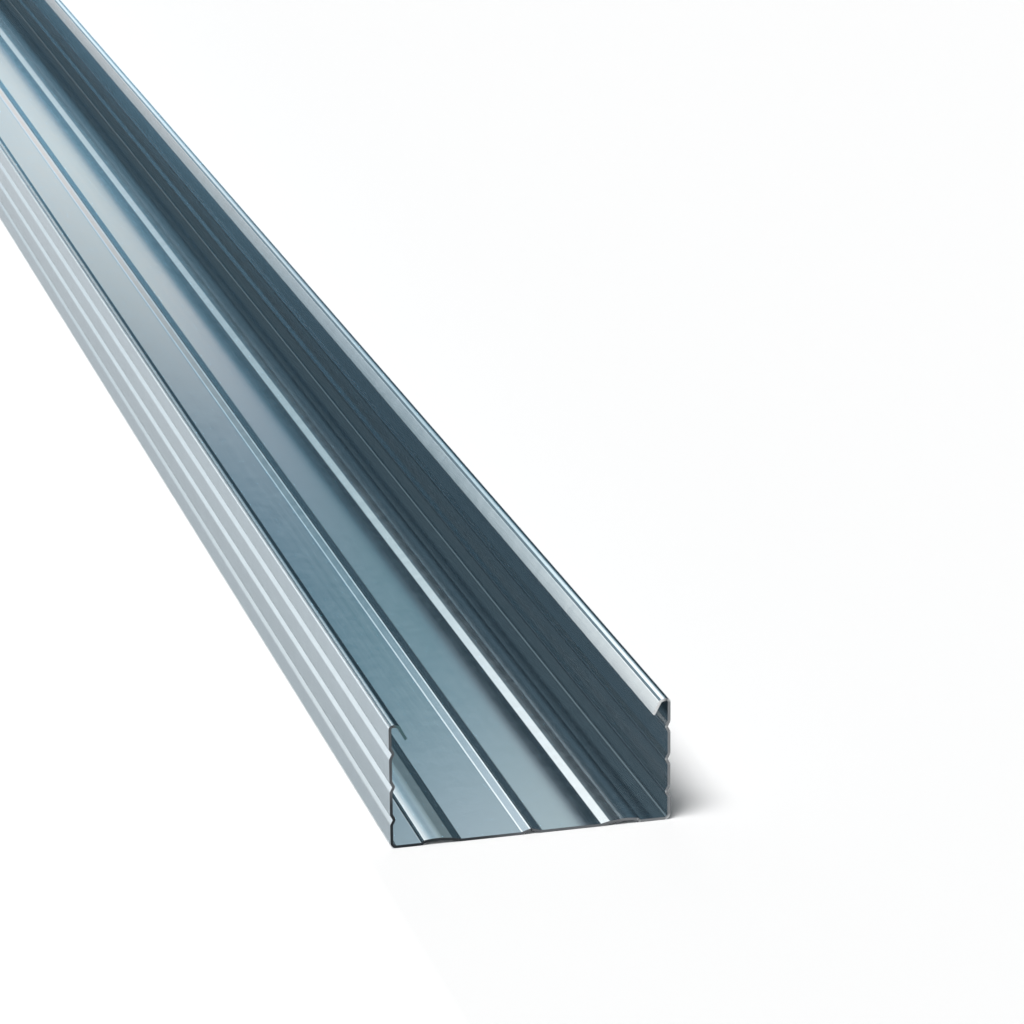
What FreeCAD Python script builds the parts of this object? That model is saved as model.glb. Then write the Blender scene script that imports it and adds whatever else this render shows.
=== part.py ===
import FreeCAD
import Part
import math
import os

# Ceiling furring channel: one length of zinc-coated steel strip, cold-rolled into an open channel.
# It lies on its web with the open side up. X runs across the web, Y along the length and Z up, in
# millimetres, and the origin is in the middle of the underside.

# Stock size
LENGTH = 3000.0
WIDTH = 60.0
HEIGHT = 27.0
SHEET = 0.6

# Narrow bead along the middle of the web
MIDDLE_TOP = 0.4
MIDDLE_FOOT = 4.2
MIDDLE_RISE = 0.6

# Wide bead on each side of the web, measured from the middle: a slope up from its inner foot to a
# shoulder, a gently arched crown, and a short step down from its outer shoulder. The crown's corner
# is where the straight runs on both sides of its arc would meet.
BEAD_START = 15.0
BEAD_SLOPE = 1.9
INNER_SHOULDER_RISE = 0.4
CROWN_CORNER = 20.6
CROWN_CORNER_RISE = 0.76
BEAD_STEP = 0.5
OUTER_SHOULDER_RISE = 0.46
BEAD_END = 23.4

# Stiffening grooves pressed into the flanges from outside
GROOVE_COUNT = 3
GROOVE_PITCH = 7.2
GROOVE_WIDTH = 2.4
GROOVE_DEPTH = 0.6

# Lip along the top of each flange, measured inwards from the flange's outer face: it rises a little
# to a low dome, falls a little to its curl, and drops from there to its tip
DOME_REACH = 1.15
DOME_RISE = 0.18
CURL_REACH = 2.15
CURL_FALL = 0.3
LIP_REACH = 3.65
LIP_DROP = 3.4

# Bend radii at the middle of the sheet's thickness
WEB_BEND = 1.0
RIM_BEND = 0.6
LIP_DOME = 1.0
LIP_CURL = 0.6
MIDDLE_CREST = 1.2
MIDDLE_HEEL = 2.0
BEAD_CREASE = 0.6
CROWN_CURVE = 14.0
GROOVE_BOTTOM = 0.5
GROOVE_EDGE = 0.7

# The middle of the sheet lies half a thickness inside the outer faces
WEB_Z = SHEET / 2
FLANGE_X = (WIDTH - SHEET) / 2

# The dome's corner lies a little above its arc, whose top is at the full height
RISE_ANGLE = math.atan2(DOME_RISE, DOME_REACH - SHEET / 2)
FALL_ANGLE = math.atan2(CURL_FALL, CURL_REACH - DOME_REACH)
DOME_SAG = LIP_DOME * (math.cos((RISE_ANGLE - FALL_ANGLE) / 2) / math.cos((RISE_ANGLE + FALL_ANGLE) / 2) - 1)
DOME_Z = HEIGHT - SHEET / 2 + DOME_SAG


def web_corners():
    """Corners of half the web, from the middle bead out to the foot of the flange."""
    return [
        (MIDDLE_TOP / 2, WEB_Z + MIDDLE_RISE, MIDDLE_CREST),
        (MIDDLE_FOOT / 2, WEB_Z, MIDDLE_HEEL),
        (BEAD_START, WEB_Z, BEAD_CREASE),
        (BEAD_START + BEAD_SLOPE, WEB_Z + INNER_SHOULDER_RISE, BEAD_CREASE),
        (CROWN_CORNER, WEB_Z + CROWN_CORNER_RISE, CROWN_CURVE),
        (BEAD_END - BEAD_STEP, WEB_Z + OUTER_SHOULDER_RISE, BEAD_CREASE),
        (BEAD_END, WEB_Z, BEAD_CREASE),
        (FLANGE_X, WEB_Z, WEB_BEND),
    ]


def flange_corners():
    """Corners of one flange, from the lowest groove up to the tip of the lip."""
    corners = []
    for number in range(GROOVE_COUNT):
        level = HEIGHT / 2 + (number - (GROOVE_COUNT - 1) / 2) * GROOVE_PITCH
        corners.append((FLANGE_X, level - GROOVE_WIDTH / 2, GROOVE_EDGE))
        corners.append((FLANGE_X - GROOVE_DEPTH, level, GROOVE_BOTTOM))
        corners.append((FLANGE_X, level + GROOVE_WIDTH / 2, GROOVE_EDGE))
    corners.append((FLANGE_X, DOME_Z - DOME_RISE, RIM_BEND))
    corners.append((WIDTH / 2 - DOME_REACH, DOME_Z, LIP_DOME))
    corners.append((WIDTH / 2 - CURL_REACH, DOME_Z - CURL_FALL, LIP_CURL))
    corners.append((WIDTH / 2 - LIP_REACH, HEIGHT - LIP_DROP, 0.0))
    return corners


def bent_line(corners):
    """One wire through the corners, with an arc of the given radius, tangent to both runs, at each."""
    points = [FreeCAD.Vector(x, -LENGTH / 2, z) for x, z, radius in corners]
    edges = []
    start = points[0]
    for before, corner, after, (x, z, radius) in zip(points, points[1:], points[2:], corners[1:]):
        back = (before - corner).normalize()
        ahead = (after - corner).normalize()
        half_angle = back.getAngle(ahead) / 2
        reach = radius / math.tan(half_angle)
        middle = corner + (back + ahead).normalize() * (radius / math.sin(half_angle) - radius)
        end = corner + ahead * reach
        edges.append(Part.LineSegment(start, corner + back * reach).toShape())
        edges.append(Part.Arc(corner + back * reach, middle, end).toShape())
        start = end
    edges.append(Part.LineSegment(start, points[-1]).toShape())
    return Part.Wire(edges)


def furring_channel():
    """The strip's section, thickened equally to both sides of its middle line, drawn out to length."""
    right = web_corners() + flange_corners()
    left = [(-x, z, radius) for x, z, radius in reversed(right)]
    middle_line = bent_line(left + right)
    one_face = middle_line.makeOffset2D(-SHEET / 2, openResult=True)
    section = one_face.makeOffset2D(SHEET, fill=True, openResult=True)
    return section.extrude(FreeCAD.Vector(0, LENGTH, 0))


os.makedirs("parts", exist_ok=True)
furring_channel().exportStep("parts/furring_channel.step")
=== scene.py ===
import math

import bpy
import numpy as np
from mathutils import Matrix, Vector


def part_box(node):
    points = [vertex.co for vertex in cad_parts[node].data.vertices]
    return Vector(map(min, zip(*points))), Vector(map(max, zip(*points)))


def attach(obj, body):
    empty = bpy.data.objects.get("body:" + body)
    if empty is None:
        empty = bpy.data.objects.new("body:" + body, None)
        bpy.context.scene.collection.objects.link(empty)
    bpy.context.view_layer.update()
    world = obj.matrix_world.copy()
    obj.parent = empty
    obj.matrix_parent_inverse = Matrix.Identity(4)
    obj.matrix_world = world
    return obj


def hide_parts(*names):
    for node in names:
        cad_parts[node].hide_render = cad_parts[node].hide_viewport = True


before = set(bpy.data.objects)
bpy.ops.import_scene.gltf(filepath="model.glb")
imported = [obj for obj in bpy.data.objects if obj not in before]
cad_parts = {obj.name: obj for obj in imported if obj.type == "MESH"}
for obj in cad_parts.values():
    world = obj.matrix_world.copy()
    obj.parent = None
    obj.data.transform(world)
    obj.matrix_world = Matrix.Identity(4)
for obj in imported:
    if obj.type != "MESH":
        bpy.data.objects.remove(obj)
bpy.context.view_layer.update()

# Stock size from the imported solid, in metres
NODE = "furring_channel"
LOW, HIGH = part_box(NODE)
LENGTH = HIGH.y - LOW.y
WIDTH = HIGH.x - LOW.x
HEIGHT = HIGH.z - LOW.z
MM = 0.001
SHEET = 0.6 * MM

# Narrow bead along the middle of the web
MIDDLE_TOP = 0.4 * MM
MIDDLE_FOOT = 4.2 * MM
MIDDLE_RISE = 0.6 * MM

# Wide bead on each side of the web, measured from the middle
BEAD_START = 15.0 * MM
BEAD_SLOPE = 1.9 * MM
INNER_SHOULDER_RISE = 0.4 * MM
CROWN_CORNER = 20.6 * MM
CROWN_CORNER_RISE = 0.76 * MM
BEAD_STEP = 0.5 * MM
OUTER_SHOULDER_RISE = 0.46 * MM
BEAD_END = 23.4 * MM

# Stiffening grooves pressed into the flanges from outside
GROOVE_COUNT = 3
GROOVE_PITCH = 7.2 * MM
GROOVE_WIDTH = 2.4 * MM
GROOVE_DEPTH = 0.6 * MM

# Lip along the top of each flange, measured inwards from the flange's outer face
DOME_REACH = 1.15 * MM
DOME_RISE = 0.18 * MM
CURL_REACH = 2.15 * MM
CURL_FALL = 0.3 * MM
LIP_REACH = 3.65 * MM
LIP_DROP = 3.4 * MM

# Bend radii at the middle of the sheet's thickness
WEB_BEND = 1.0 * MM
RIM_BEND = 0.6 * MM
LIP_DOME = 1.0 * MM
LIP_CURL = 0.6 * MM
MIDDLE_CREST = 1.2 * MM
MIDDLE_HEEL = 2.0 * MM
BEAD_CREASE = 0.6 * MM
CROWN_CURVE = 14.0 * MM
GROOVE_BOTTOM = 0.5 * MM
GROOVE_EDGE = 0.7 * MM

# How finely the strip is meshed
ARC_STEP = math.radians(6)
ARC_LEAST = 4
FLAT_MARGIN = 0.12 * MM
STATIONS = 120
EDGE_BREAK = 0.05 * MM
SHARP_ANGLE = math.radians(30)

# Bends this sharp or sharper show full wear
FULL_WEAR_TURN = math.radians(80)

# The bake map lays the strip out in rows, side by side, with the two cut ends above them
MAP_ROWS = 4
NEAR_END_MAP_PLACE = 0.2
FAR_END_MAP_PLACE = 0.6
END_MAP_GAP = 0.05

# The mesh's materials, in order: zinc coating, cut edge
CUT_EDGE = 1

# Zinc coating, with faint clouds, crystals and roll marks along the length, and duller on the bends
NOISE_RANGE = (0.3, 0.7)
BUMP_DEPTH = 0.05 * MM
CLOUD_STRETCH = (9, 4, 9)
CLOUD_TINTS = [
    (0.3, (0.485, 0.53, 0.56)),
    (0.5, (0.505, 0.545, 0.57)),
    (0.7, (0.52, 0.56, 0.58)),
]
CRYSTAL_SCALE = 330.0
CRYSTAL_SHADES = (0.975, 1.025)
CRYSTAL_ROUGHNESS = (-0.008, 0.008)
MARK_STRETCH = (1400, 5, 1400)
MARK_SHADES = (-0.02, 0.02)
MARK_ROUGHNESS = (0.115, 0.14)
MARK_BUMP = 0.006
BEND_SHADES = (0.0, 0.3)
BEND_ROUGHNESS = (0.0, 0.25)
ZINC_METALLIC = 0.9
ZINC_GLANCING_TINT = (0.50, 0.55, 0.58, 1)
# Painted shade in the hollows under the lips, on the sheet's inner side: the zinc is darkened there where
# shade falls
PAINTED_SHADE_COVER = (0.0, 0.9)
PAINTED_SHADE_HEIGHTS = (21.5 * MM, 24.0 * MM)

# Cut edges of bare steel, with painted light: dark on the left and lighter to the right and above the web,
# as if lit from the right
SHEAR_STRETCH = (3000, 900, 3000)
SHEAR_SHADES = (0.8, 1.2)
SHEAR_BUMP = 0.3
SMEAR_STRETCH = (220, 220, 220)
SMEAR_SHADES = (-0.1, 0.1)
PAINTED_LIGHT_UP_FLANGES = (0.0, 0.4)
PAINTED_LIGHT_HEIGHTS = (4.0 * MM, 12.0 * MM)
PAINTED_LIGHT_STEEL_TINTS = [
    (0.1, (0.03, 0.035, 0.04)),
    (0.3, (0.045, 0.05, 0.055)),
    (0.45, (0.12, 0.13, 0.14)),
    (0.75, (0.15, 0.16, 0.17)),
    (0.95, (0.22, 0.23, 0.24)),
]
CUT_METALLIC = 1.0
CUT_ROUGHNESS = 0.42
# Zinc tint over the lips' edges and painted highlights over the bends on the right, both light on the
# right and dark on the left as painted light
ZINC_AND_PAINTED_GLINT_TINTS = [(0.2, (0.07, 0.13, 0.145)), (0.8, (0.70, 0.72, 0.73))]
LIP_PLACES = (28.2 * MM, 29.0 * MM)
LIP_HEIGHTS = (22.5 * MM, 23.2 * MM)
BEND_GLINT = (0.0, 0.8)
BEND_GLINT_SPREAD = (0.5, 0.9)

# Camera of the photograph, fitted to the channel's long edges and its near end
NEAR_END = LOW.y
CAMERA_PLACE = Vector((-0.2040, NEAR_END - 0.7698, 0.3227))
CAMERA_LOOK = Vector((0.2401, 0.9224, -0.3024))
CAMERA_UP = Vector((0.0843, 0.2905, 0.9532))
CAMERA_LENS = 145.26
SENSOR_WIDTH = 36.0
CLIP_START = 0.05
CLIP_END = 200.0

# The floor, which is lit from below on the left of the channel, as a light table is
FLOOR_SIZE = 120.0
FLOOR_COLOUR = (0.9, 0.9, 0.9, 1)
FLOOR_GLOW = (0.0, 1.0)
FLOOR_GLOW_FROM_TO = (-0.035, -0.085)

# Wide soft light over the channel, from its left and front, for the floor and the channel's shadow
KEY_FROM = Vector((-0.36, -0.21, 1.0))
KEY_WIDTH = math.radians(28)
KEY_STRENGTH = 3.2
KEY_COLOUR = (1.0, 1.0, 1.0)
# Cool fill light from above, for the haze of the zinc
FILL_FROM = Vector((0.12, 0.0, 1.0))
FILL_WIDTH = math.radians(60)
FILL_STRENGTH = 1.6
FILL_COLOUR = (0.18, 0.63, 1.0)
# Soft box above the channel's middle and to its right, which leaves both ends darker
BOX_PLACE = Vector((0.15, 0.0, 0.27))
BOX_SIZE = (0.2, 2.0)
BOX_POWER = 54.0
BOX_COLOUR = (0.42, 0.78, 1.0)

# The studio round the channel. Round its axis, 0 is level on the right, 0.5 is overhead and 1 is
# level on the left. Along it, a direction's share of Y tells the place: the long lights show in
# directions close to the axis, and plain walls show across it.
WALL_TO_LIGHT_SHARES = (0.77, 0.87)
ALONG_SHARES = (0.88, 0.98)
# The walls light the floor less than the metal shows them
WALLS_AROUND = [(0.0, 0.5), (0.35, 0.6), (0.6, 0.75), (0.9, 0.75)]
WALLS_ON_FLOOR_AND_IN_METAL = (0.15, 1.1)
BACKGROUND_WHITE = (1, 1, 1, 1)

# A broad screen on the right, which the flat web reflects, and a narrow one just past overhead. The
# broad one's lower half is brighter far away.
SCREEN_AROUND = [
    (0.14, 0.0), (0.20, 0.02), (0.25, 0.06), (0.275, 0.34), (0.30, 0.75), (0.315, 1.0), (0.33, 1.0),
    (0.345, 0.0), (0.49, 0.0), (0.51, 1.2), (0.53, 0.8), (0.57, 0.15), (0.60, 0.0),
]
SCREEN_SPLIT = (0.318, 0.325)
SCREEN_ALONG = (0.10, 0.20, 0.32, 0.45, 0.64, 0.755, 0.84)
LOWER_SCREEN = [
    (1.12, 1.21, 1.14), (0.94, 1.06, 1.02), (0.33, 0.53, 0.60), (0.27, 0.48, 0.50),
    (0.91, 0.83, 0.86), (2.07, 1.61, 1.34), (1.80, 1.37, 0.99),
]
UPPER_SCREEN = [
    (1.10, 1.15, 1.19), (0.93, 1.02, 1.08), (0.29, 0.46, 0.51), (0.06, 0.19, 0.24),
    (0.09, 0.18, 0.21), (0.85, 0.61, 0.43), (1.75, 1.04, 0.68),
]

# The broad screen's upper edge, which is blue along the middle of its length
EDGE_AROUND = [(0.33, 0.0), (0.345, 0.75), (0.36, 0.65), (0.40, 0.4), (0.43, 0.0)]
SCREEN_EDGE = [
    (1.06, 1.10, 1.12), (0.90, 0.98, 1.02), (0.20, 0.45, 0.58), (0.08, 0.35, 0.62),
    (0.15, 0.40, 0.60), (0.45, 0.70, 0.85), (0.80, 0.80, 0.75),
]

# A strip light overhead, and a low one on the left
STRIPS_AROUND = [
    (0.36, 0.0), (0.385, (0.35, 0.50, 0.55)), (0.40, (0.95, 1.0, 1.05)), (0.425, 2.1), (0.45, 2.15),
    (0.465, 3.2), (0.485, 3.2), (0.505, 0.4), (0.52, 0.0),
    (0.90, 0.0), (0.915, 4.0), (0.94, 4.4), (0.96, 2.6), (0.98, 1.75), (1.0, 1.75),
]
STRIPS_SPLIT = (0.448, 0.458)
STRIPS_ALONG = (0.15, 0.32, 0.45, 0.64, 0.755, 0.84)
RIGHT_STRIPS = [
    (1.01, 0.96, 0.90), (0.79, 0.80, 0.79), (0.46, 0.52, 0.51),
    (0.28, 0.34, 0.34), (0.34, 0.36, 0.37), (0.49, 0.45, 0.41),
]
LEFT_STRIPS = [
    (1.08, 1.00, 0.94), (0.73, 0.78, 0.78), (0.33, 0.40, 0.42),
    (0.51, 0.55, 0.57), (0.61, 0.57, 0.54), (0.72, 0.60, 0.54),
]

# The dim rest of the studio
REST_AROUND = [
    (0.22, (0.01, 0.02, 0.025)), (0.40, (0.07, 0.11, 0.13)), (0.60, (0.08, 0.13, 0.16)),
    (0.64, (0.35, 0.43, 0.46)), (0.72, (0.35, 0.43, 0.46)), (0.76, (0.32, 0.44, 0.50)),
    (0.80, (0.32, 0.44, 0.50)), (0.84, (0.02, 0.03, 0.04)),
]

# Sockets of a Mix node by number, because its value, vector and colour sockets share their names
MIX_SHARE = 0
MIX_FIRST = 6
MIX_SECOND = 7
MIX_RESULT = 2


def section_corners():
    """Corners and bend radii of the strip's middle line, from the left lip's tip to the right one's."""
    web = SHEET / 2
    flange = (WIDTH - SHEET) / 2
    rise = math.atan2(DOME_RISE, DOME_REACH - SHEET / 2)
    fall = math.atan2(CURL_FALL, CURL_REACH - DOME_REACH)
    sag = LIP_DOME * (math.cos((rise - fall) / 2) / math.cos((rise + fall) / 2) - 1)
    dome = HEIGHT - SHEET / 2 + sag
    right = [
        (MIDDLE_TOP / 2, web + MIDDLE_RISE, MIDDLE_CREST),
        (MIDDLE_FOOT / 2, web, MIDDLE_HEEL),
        (BEAD_START, web, BEAD_CREASE),
        (BEAD_START + BEAD_SLOPE, web + INNER_SHOULDER_RISE, BEAD_CREASE),
        (CROWN_CORNER, web + CROWN_CORNER_RISE, CROWN_CURVE),
        (BEAD_END - BEAD_STEP, web + OUTER_SHOULDER_RISE, BEAD_CREASE),
        (BEAD_END, web, BEAD_CREASE),
        (flange, web, WEB_BEND),
    ]
    for number in range(GROOVE_COUNT):
        level = HEIGHT / 2 + (number - (GROOVE_COUNT - 1) / 2) * GROOVE_PITCH
        right.append((flange, level - GROOVE_WIDTH / 2, GROOVE_EDGE))
        right.append((flange - GROOVE_DEPTH, level, GROOVE_BOTTOM))
        right.append((flange, level + GROOVE_WIDTH / 2, GROOVE_EDGE))
    right.append((flange, dome - DOME_RISE, RIM_BEND))
    right.append((WIDTH / 2 - DOME_REACH, dome, LIP_DOME))
    right.append((WIDTH / 2 - CURL_REACH, dome - CURL_FALL, LIP_CURL))
    right.append((WIDTH / 2 - LIP_REACH, HEIGHT - LIP_DROP, 0.0))
    left = [(-x, z, radius) for x, z, radius in reversed(right)]
    return left + right


def normal_at(angle):
    """Unit normal to the inner side of a strip that runs at this angle."""
    return np.array([-math.sin(angle), math.cos(angle)])


def middle_line(corners):
    """Points of the bent middle line, with each one's normal to the inner side and its bend.

    A bend is above zero where the strip turns towards its inner side, and at most 1 in size.
    """
    points, normals, bends = [], [], []

    def keep(point, angle, bend):
        points.append(point)
        normals.append(normal_at(angle))
        bends.append(bend)

    def keep_run(start, end, angle):
        run = end - start
        margin = run / np.linalg.norm(run) * FLAT_MARGIN
        for point in (start, start + margin, end - margin, end):
            keep(point, angle, 0.0)

    places = [np.array(corner[:2]) for corner in corners]
    start = places[0]
    for before, corner, after, (x, z, radius) in zip(places, places[1:], places[2:], corners[1:]):
        entry, leave = corner - before, after - corner
        angle = math.atan2(entry[1], entry[0])
        turn = math.atan2(entry[0] * leave[1] - entry[1] * leave[0], entry @ leave)
        reach = radius * math.tan(abs(turn) / 2)
        arc_start = corner - entry / np.linalg.norm(entry) * reach
        keep_run(start, arc_start, angle)
        side = math.copysign(radius, turn)
        centre = arc_start + normal_at(angle) * side
        steps = max(ARC_LEAST, math.ceil(abs(turn) / ARC_STEP))
        for step in range(1, steps):
            share = step / steps
            sharpness = min(1.0, abs(turn) / FULL_WEAR_TURN) * math.sin(math.pi * share)
            at = angle + turn * share
            keep(centre - normal_at(at) * side, at, math.copysign(sharpness, turn))
        angle += turn
        start = centre - normal_at(angle) * side
    last_run = places[-1] - start
    keep_run(start, places[-1], math.atan2(last_run[1], last_run[0]))
    return np.array(points), np.array(normals), np.array(bends)


def closed_section(points, normals, bends):
    """The strip's outline as one loop: outer side first, then the inner side back, with broken tip edges.

    Returns the outline, a thinner one for the cut ends, each point's wear and the number of points a side.
    """
    half_sheet = SHEET / 2
    half_tip = half_sheet - EDGE_BREAK
    outer = points - normals * half_sheet
    inner = points + normals * half_sheet
    for end, neighbour in ((0, 1), (-1, -2)):
        outward = points[end] - points[neighbour]
        setback = outward / np.linalg.norm(outward) * EDGE_BREAK
        outer[end] -= setback
        inner[end] -= setback
    ends = [0, -1]
    outer_tips = points[ends] - normals[ends] * half_tip
    inner_tips = points[ends] + normals[ends] * half_tip
    outer = np.vstack([outer_tips[0], outer, outer_tips[1]])
    inner = np.vstack([inner_tips[0], inner, inner_tips[1]])
    middle = (outer + inner) / 2
    loop = np.vstack([outer, inner[::-1]])
    centres = np.vstack([middle, middle[::-1]])
    thinner = centres + (loop - centres) * (half_tip / half_sheet)
    padded = np.concatenate([[0.0], bends, [0.0]])
    wear = np.concatenate([np.maximum(padded, 0), np.maximum(-padded, 0)[::-1]])
    return loop, thinner, wear, len(outer)


def set_point_values(mesh, name, ring_values, station_count):
    """A value on each point of the mesh, the same at every station along the length."""
    attribute = mesh.attributes.new(name, "FLOAT", "POINT")
    attribute.data.foreach_set("value", np.tile(ring_values, station_count).astype(np.float32))


def strip_mesh():
    """The whole channel as one closed mesh, with its wear, its inner side and its bake map."""
    loop, thinner, wear, side = closed_section(*middle_line(section_corners()))
    count = len(loop)
    inside = np.linspace(-LENGTH / 2 + EDGE_BREAK, LENGTH / 2 - EDGE_BREAK, STATIONS + 1)
    stations = np.concatenate([[-LENGTH / 2], inside, [LENGTH / 2]])
    verts = np.empty((len(stations), count, 3))
    verts[:, :, [0, 2]] = loop
    for end in (0, -1):
        verts[end, :, [0, 2]] = thinner.T
    verts[:, :, 1] = stations[:, None]

    # Skin between the stations
    ring = np.arange(count)
    first = np.arange(len(stations) - 1)[:, None] * count
    here = first + ring
    beside = first + (ring + 1) % count
    skin = np.stack([here, beside, beside + count, here + count], -1).reshape(-1, 4)
    # Cut faces across the sheet's thickness
    near = np.arange(side - 1)
    far = count - 1 - near
    cap = np.stack([near, far, far - 1, near + 1], -1)
    last = (len(stations) - 1) * count
    faces = np.vstack([skin, cap, (cap + last)[:, ::-1]])

    mesh = bpy.data.meshes.new("channel_strip")
    mesh.from_pydata(verts.reshape(-1, 3).tolist(), [], faces.tolist())

    # Cut edges: both ends with their broken edges, and the slit edges along the lips
    material = np.zeros(len(faces), np.int32)
    skin_part = material[:len(skin)].reshape(-1, count)
    skin_part[[0, -1], :] = CUT_EDGE
    skin_part[:, [side - 1, count - 1]] = CUT_EDGE
    material[len(skin):] = CUT_EDGE
    mesh.polygons.foreach_set("material_index", material)
    mesh.polygons.foreach_set("use_smooth", np.ones(len(faces), bool))

    set_point_values(mesh, "bend_wear_and_glint", wear, len(stations))
    set_point_values(mesh, "inner_side", np.repeat([0.0, 1.0], side), len(stations))
    bake_map(mesh, verts, stations, loop, faces, len(skin))
    mesh.validate()
    mesh.set_sharp_from_angle(angle=SHARP_ANGLE)
    mesh.update()
    return mesh


def bake_map(mesh, verts, stations, loop, faces, skin_count):
    """A map that lays the strip's surface out flat, at one scale, in rows of equal length."""
    count = len(loop)
    steps = np.linalg.norm(np.roll(loop, -1, 0) - loop, axis=1)
    across = np.concatenate([[0.0], np.cumsum(steps)])
    row_length = LENGTH / MAP_ROWS
    scale = 1 / (across[-1] * MAP_ROWS)
    uv = np.zeros((len(faces), 4, 2))
    ring = np.arange(count)
    columns = np.stack([across[ring], across[ring + 1], across[ring + 1], across[ring]], -1)
    for number, (low, high) in enumerate(zip(stations, stations[1:])):
        row = min(MAP_ROWS - 1, int(((low + high) / 2 + LENGTH / 2) / row_length))
        part = uv[number * count:(number + 1) * count]
        part[:, :, 0] = (columns + row * across[-1]) * scale
        foot = -LENGTH / 2 + row * row_length
        part[:, :, 1] = (np.array([low, low, high, high]) - foot) * scale
    flat = verts.reshape(-1, 3)[faces[skin_count:]]
    end_places = np.where(flat[:, :, 1] < 0, NEAR_END_MAP_PLACE, FAR_END_MAP_PLACE)
    uv[skin_count:, :, 0] = flat[:, :, 0] * scale + end_places
    uv[skin_count:, :, 1] = flat[:, :, 2] * scale + row_length * scale + END_MAP_GAP
    layer = mesh.uv_layers.new(name="OFBake")
    layer.uv.foreach_set("vector", uv.reshape(-1).astype(np.float32))


def add_node(tree, kind, values=None, **settings):
    """A new shader node with its settings, and its inputs set to values or linked to sockets."""
    node = tree.nodes.new("ShaderNode" + kind)
    for name, value in settings.items():
        setattr(node, name, value)
    for name, value in (values or {}).items():
        socket = node.inputs[name]
        if isinstance(value, bpy.types.NodeSocket):
            tree.links.new(value, socket)
        else:
            socket.default_value = value
    return node


def colour_ramp(tree, factor, stops):
    """A colour ramp with the given (position, grey or colour) stops."""
    node = add_node(tree, "ValToRGB", {"Fac": factor})
    ramp = node.color_ramp
    while len(ramp.elements) < len(stops):
        ramp.elements.new(0.5)
    for element, (position, colour) in zip(ramp.elements, stops):
        element.position = position
        grey = isinstance(colour, (int, float))
        element.color = (colour, colour, colour, 1) if grey else (*colour, 1)
    return node.outputs["Color"]


def scaled(tree, value, to_range, from_range=(0.0, 1.0)):
    """A value brought from one range to another, and kept inside it."""
    from_low, from_high = from_range
    low, high = to_range
    node = add_node(
        tree, "MapRange",
        {"Value": value, "From Min": from_low, "From Max": from_high, "To Min": low, "To Max": high},
    )
    return node.outputs["Result"]


def absolute(tree, value):
    """A value without its sign."""
    return add_node(tree, "Math", {0: value}, operation="ABSOLUTE").outputs["Value"]


def value_math(tree, operation, first, second):
    """Two values joined by one arithmetic operation."""
    return add_node(tree, "Math", {0: first, 1: second}, operation=operation).outputs["Value"]


def colour_math(tree, operation, first, second):
    """Two colours, or a colour and a value, joined by one arithmetic operation."""
    return add_node(tree, "VectorMath", {0: first, 1: second}, operation=operation).outputs["Vector"]


def mixed(tree, share, first, second):
    """A colour between two others, by the share that the second one has."""
    sockets = {MIX_SHARE: share, MIX_FIRST: first, MIX_SECOND: second}
    return add_node(tree, "Mix", sockets, data_type="RGBA").outputs[MIX_RESULT]


def empty_material(name):
    """A node material without nodes."""
    material = bpy.data.materials.new(name)
    material.use_nodes = True
    tree = material.node_tree
    tree.nodes.clear()
    return material, tree


def own_place(tree):
    """Where a point lies in the object's own frame."""
    return add_node(tree, "TexCoord").outputs["Object"]


def split_axes(tree, vector):
    """A vector's X, Y and Z."""
    return add_node(tree, "SeparateXYZ", {"Vector": vector}).outputs


def point_value(tree, name):
    """A value that the mesh holds on its points."""
    return add_node(tree, "Attribute", attribute_name=name).outputs["Fac"]


def mapped_noise(tree, place, stretch, detail):
    """Noise in the channel's own frame, with its own scale along each axis."""
    mapping = add_node(tree, "Mapping", {"Vector": place, "Scale": stretch})
    values = {"Vector": mapping.outputs["Vector"], "Scale": 1.0, "Detail": detail}
    return add_node(tree, "TexNoise", values).outputs["Fac"]


def bumped(tree, height, strength):
    """Normals that follow a fine relief."""
    values = {"Height": height, "Strength": strength, "Distance": BUMP_DEPTH}
    return add_node(tree, "Bump", values).outputs["Normal"]


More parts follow.
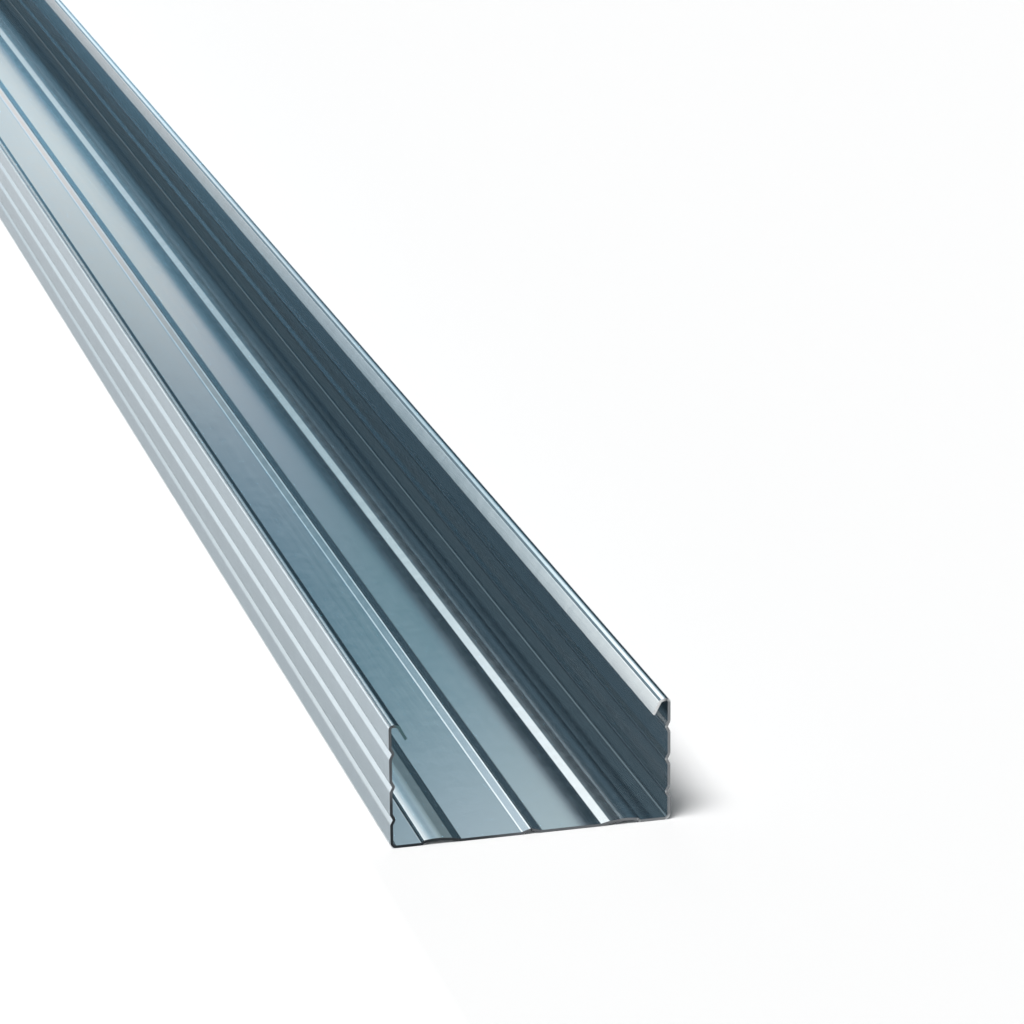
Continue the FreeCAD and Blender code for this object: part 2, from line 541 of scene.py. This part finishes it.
def zinc_material():
    """Smooth zinc coating: faint crystals, roll marks along the length, duller zinc on the bends, and
    painted shade in the hollows under the lips.
    """
    material, tree = empty_material("zinc_coating")
    place = own_place(tree)
    cloud = mapped_noise(tree, place, CLOUD_STRETCH, detail=3)
    marks = mapped_noise(tree, place, MARK_STRETCH, detail=3)
    crystals = add_node(tree, "TexVoronoi", {"Vector": place, "Scale": CRYSTAL_SCALE, "Randomness": 1.0})
    crystal = add_node(tree, "SeparateColor", {"Color": crystals.outputs["Color"]}).outputs["Red"]
    wear = point_value(tree, "bend_wear_and_glint")

    tint = colour_ramp(tree, cloud, CLOUD_TINTS)
    crystal_shade = scaled(tree, crystal, CRYSTAL_SHADES)
    mark_shade = scaled(tree, marks, MARK_SHADES, NOISE_RANGE)
    shade = value_math(tree, "ADD", crystal_shade, mark_shade)
    shade = value_math(tree, "ADD", shade, scaled(tree, wear, BEND_SHADES))
    # Painted shade: darker zinc on the inner side, high in the hollows under the lips
    cover = scaled(tree, split_axes(tree, place)["Z"], PAINTED_SHADE_COVER, PAINTED_SHADE_HEIGHTS)
    painted_hollow_shade = value_math(tree, "MULTIPLY", point_value(tree, "inner_side"), cover)
    shade = value_math(tree, "MULTIPLY", shade, scaled(tree, painted_hollow_shade, (1.0, 0.0)))

    mark_roughness = scaled(tree, marks, MARK_ROUGHNESS, NOISE_RANGE)
    rough = value_math(tree, "ADD", mark_roughness, scaled(tree, crystal, CRYSTAL_ROUGHNESS))
    dullness = value_math(tree, "MULTIPLY", wear, wear)
    rough = value_math(tree, "ADD", rough, scaled(tree, dullness, BEND_ROUGHNESS))
    shader = add_node(tree, "BsdfPrincipled", {
        "Base Color": colour_math(tree, "MULTIPLY", tint, shade),
        "Metallic": ZINC_METALLIC,
        "Roughness": rough,
        "Normal": bumped(tree, marks, MARK_BUMP),
        "Specular Tint": ZINC_GLANCING_TINT,
    })
    add_node(tree, "OutputMaterial", {"Surface": shader.outputs["BSDF"]})
    return material


def cut_edge_material():
    """Sheared steel at the ends and along the lips: darker than the zinc, with shear lines, painted light
    that lightens it to the right and up the flanges, and a zinc tint on the lips and right bends that is
    light on the right and dark on the left.
    """
    material, tree = empty_material("cut_edge")
    place = own_place(tree)
    shear = mapped_noise(tree, place, SHEAR_STRETCH, detail=3)
    smear = mapped_noise(tree, place, SMEAR_STRETCH, detail=2)
    axes = split_axes(tree, place)
    # Painted light: the steel is dark on the left and lighter to the right and above the web, as light
    # falls on it
    left_to_right = scaled(tree, axes["X"], (0.0, 1.0), (-WIDTH / 2, WIDTH / 2))
    spread = value_math(tree, "ADD", left_to_right, scaled(tree, smear, SMEAR_SHADES))
    painted_light = value_math(tree, "ADD", spread, scaled(tree, axes["Z"], PAINTED_LIGHT_UP_FLANGES, PAINTED_LIGHT_HEIGHTS))
    steel = colour_ramp(tree, painted_light, PAINTED_LIGHT_STEEL_TINTS)
    # Zinc tint for the lips and painted highlights for the right bends, light on the right and dark on the
    # left as painted light
    zinc = colour_ramp(tree, spread, ZINC_AND_PAINTED_GLINT_TINTS)

    inward = scaled(tree, absolute(tree, axes["X"]), (1.0, 0.0), LIP_PLACES)
    on_lip = value_math(tree, "MULTIPLY", inward, scaled(tree, axes["Z"], (0.0, 1.0), LIP_HEIGHTS))
    # Painted highlights on the cut edge's bends, on its right side only
    right_bend_glint = scaled(tree, spread, BEND_GLINT, BEND_GLINT_SPREAD)
    on_bend = value_math(tree, "MULTIPLY", point_value(tree, "bend_wear_and_glint"), right_bend_glint)
    zinc_and_glint_share = value_math(tree, "MAXIMUM", on_lip, on_bend)
    tint = mixed(tree, zinc_and_glint_share, steel, zinc)
    shader = add_node(tree, "BsdfPrincipled", {
        "Base Color": colour_math(tree, "MULTIPLY", tint, scaled(tree, shear, SHEAR_SHADES)),
        "Metallic": CUT_METALLIC,
        "Roughness": CUT_ROUGHNESS,
        "Normal": bumped(tree, shear, SHEAR_BUMP),
    })
    add_node(tree, "OutputMaterial", {"Surface": shader.outputs["BSDF"]})
    return material


def build_channel():
    """The dressed channel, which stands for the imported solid."""
    mesh = strip_mesh()
    mesh.materials.append(zinc_material())
    mesh.materials.append(cut_edge_material())
    piece = bpy.data.objects.new("channel_strip", mesh)
    bpy.context.scene.collection.objects.link(piece)
    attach(piece, "root")
    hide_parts(NODE)
    return piece


def floor_material():
    """White floor, with a glow on the left."""
    material, tree = empty_material("floor_white")
    side = split_axes(tree, own_place(tree))["X"]
    diffuse = add_node(tree, "BsdfDiffuse", {"Color": FLOOR_COLOUR})
    glow = add_node(tree, "Emission", {"Strength": scaled(tree, side, FLOOR_GLOW, FLOOR_GLOW_FROM_TO)})
    shader = add_node(tree, "AddShader", {0: diffuse.outputs["BSDF"], 1: glow.outputs["Emission"]})
    add_node(tree, "OutputMaterial", {"Surface": shader.outputs["Shader"]})
    return material


def build_floor():
    """A wide pale floor at the height that the channel rests on."""
    reach = FLOOR_SIZE / 2
    corners = [(x * reach, y * reach, LOW.z) for x, y in ((-1, -1), (1, -1), (1, 1), (-1, 1))]
    mesh = bpy.data.meshes.new("floor")
    mesh.from_pydata(corners, [], [(0, 1, 2, 3)])
    mesh.materials.append(floor_material())
    floor = bpy.data.objects.new("floor", mesh)
    bpy.context.scene.collection.objects.link(floor)
    return floor


def build_camera():
    """The photograph's camera."""
    look = CAMERA_LOOK.normalized()
    right = look.cross(CAMERA_UP).normalized()
    up = right.cross(look)
    data = bpy.data.cameras.new("camera")
    data.lens = CAMERA_LENS
    data.sensor_width = SENSOR_WIDTH
    data.clip_start = CLIP_START
    data.clip_end = CLIP_END
    camera = bpy.data.objects.new("camera", data)
    turn = Matrix((right, up, -look)).transposed().to_4x4()
    camera.matrix_world = Matrix.Translation(CAMERA_PLACE) @ turn
    bpy.context.scene.collection.objects.link(camera)
    bpy.context.scene.camera = camera


def add_lamp(name, kind, strength, colour, lit):
    """A light that falls on one object alone and isn't mirrored in it."""
    light = bpy.data.lights.new(name, kind)
    light.energy = strength
    light.color = colour
    lamp = bpy.data.objects.new(name, light)
    lamp.visible_glossy = False
    bpy.context.scene.collection.objects.link(lamp)
    receivers = bpy.data.collections.new(name + "_receivers")
    receivers.objects.link(lit)
    lamp.light_linking.receiver_collection = receivers
    return lamp


def add_sun(name, place, width, strength, colour, lit):
    """A wide soft light from far away, in the direction of the place."""
    lamp = add_lamp(name, "SUN", strength, colour, lit)
    lamp.data.angle = width
    lamp.rotation_euler = place.to_track_quat("Z", "Y").to_euler()


def build_lamps(channel, floor):
    """The lamps for the floor's shadow and for the haze of the zinc."""
    add_sun("key", KEY_FROM, KEY_WIDTH, KEY_STRENGTH, KEY_COLOUR, floor)
    add_sun("fill", FILL_FROM, FILL_WIDTH, FILL_STRENGTH, FILL_COLOUR, channel)
    box = add_lamp("soft_box", "AREA", BOX_POWER, BOX_COLOUR, channel)
    box.data.shape = "RECTANGLE"
    box.data.size, box.data.size_y = BOX_SIZE
    box.location = BOX_PLACE


def long_lights(tree, around, along):
    """The screen, the strip lights, the screen's upper edge and the dim rest of the studio, added up."""

    def colours_along(stops, colours):
        return colour_ramp(tree, along, list(zip(stops, colours)))

    def split_colours(split, stops, lower, upper):
        share = scaled(tree, around, (0.0, 1.0), split)
        return mixed(tree, share, colours_along(stops, lower), colours_along(stops, upper))

    lights = [
        (SCREEN_AROUND, split_colours(SCREEN_SPLIT, SCREEN_ALONG, LOWER_SCREEN, UPPER_SCREEN)),
        (STRIPS_AROUND, split_colours(STRIPS_SPLIT, STRIPS_ALONG, RIGHT_STRIPS, LEFT_STRIPS)),
        (EDGE_AROUND, colours_along(SCREEN_ALONG, SCREEN_EDGE)),
    ]
    light = colour_ramp(tree, around, REST_AROUND)
    for stops, colour in lights:
        shining = colour_math(tree, "MULTIPLY", colour_ramp(tree, around, stops), colour)
        light = colour_math(tree, "ADD", light, shining)
    return light


def build_studio():
    """A studio of long soft lights that run beside the channel, written as the world's brightness."""
    world = bpy.data.worlds.new("studio")
    world.use_nodes = True
    tree = world.node_tree
    tree.nodes.clear()
    axes = split_axes(tree, add_node(tree, "TexCoord").outputs["Generated"])
    around = value_math(tree, "DIVIDE", value_math(tree, "ARCTAN2", axes["Z"], axes["X"]), math.pi)
    length_share = absolute(tree, axes["Y"])
    lights = long_lights(tree, around, scaled(tree, length_share, (0.0, 1.0), ALONG_SHARES))

    paths = add_node(tree, "LightPath").outputs
    wall_share = scaled(tree, paths["Is Glossy Ray"], WALLS_ON_FLOOR_AND_IN_METAL)
    walls = colour_math(tree, "MULTIPLY", colour_ramp(tree, around, WALLS_AROUND), wall_share)
    studio = mixed(tree, scaled(tree, length_share, (0.0, 1.0), WALL_TO_LIGHT_SHARES), walls, lights)
    shown = mixed(tree, paths["Is Camera Ray"], studio, BACKGROUND_WHITE)
    background = add_node(tree, "Background", {"Color": shown, "Strength": 1.0})
    add_node(tree, "OutputWorld", {"Surface": background.outputs["Background"]})
    bpy.context.scene.world = world
    bpy.context.scene.view_settings.view_transform = "Standard"


channel = build_channel()
floor = build_floor()
build_camera()
build_lamps(channel, floor)
build_studio()
